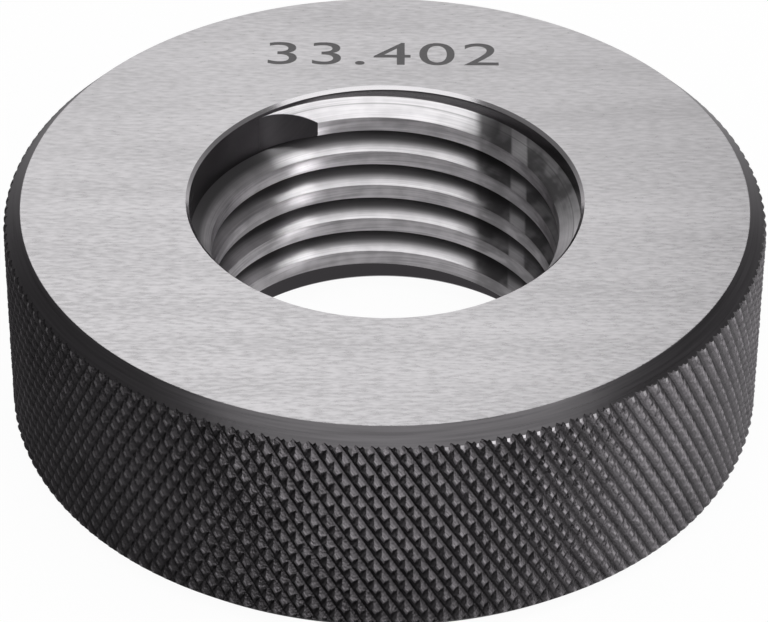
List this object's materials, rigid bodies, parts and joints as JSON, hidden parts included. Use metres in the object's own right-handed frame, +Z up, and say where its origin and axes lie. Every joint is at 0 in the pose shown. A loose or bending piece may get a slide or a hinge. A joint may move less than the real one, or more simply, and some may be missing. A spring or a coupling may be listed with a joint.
{
  "type": "thread ring gauge",
  "caption": "Solid steel ring with a right-hand internal metric thread, ground faces and a knurled rim, screwed over a bolt's thread to check it.",
  "frame": {"origin": "centre of the base, which is the ring's lower ground face", "axes": "+Z up along the axis of the ring and of its thread; the upper blunt start of the thread lies 113.6 degrees round from +X towards +Y"},
  "size_m": [0.071, 0.071, 0.023],
  "materials": {
    "gauge_steel": "hardened tool steel: faces and thread ground bright, rim and edges blackened"
  },
  "bodies": {
    "root": {"ring_gauge": "gauge_steel"}
  },
  "joints": []
}
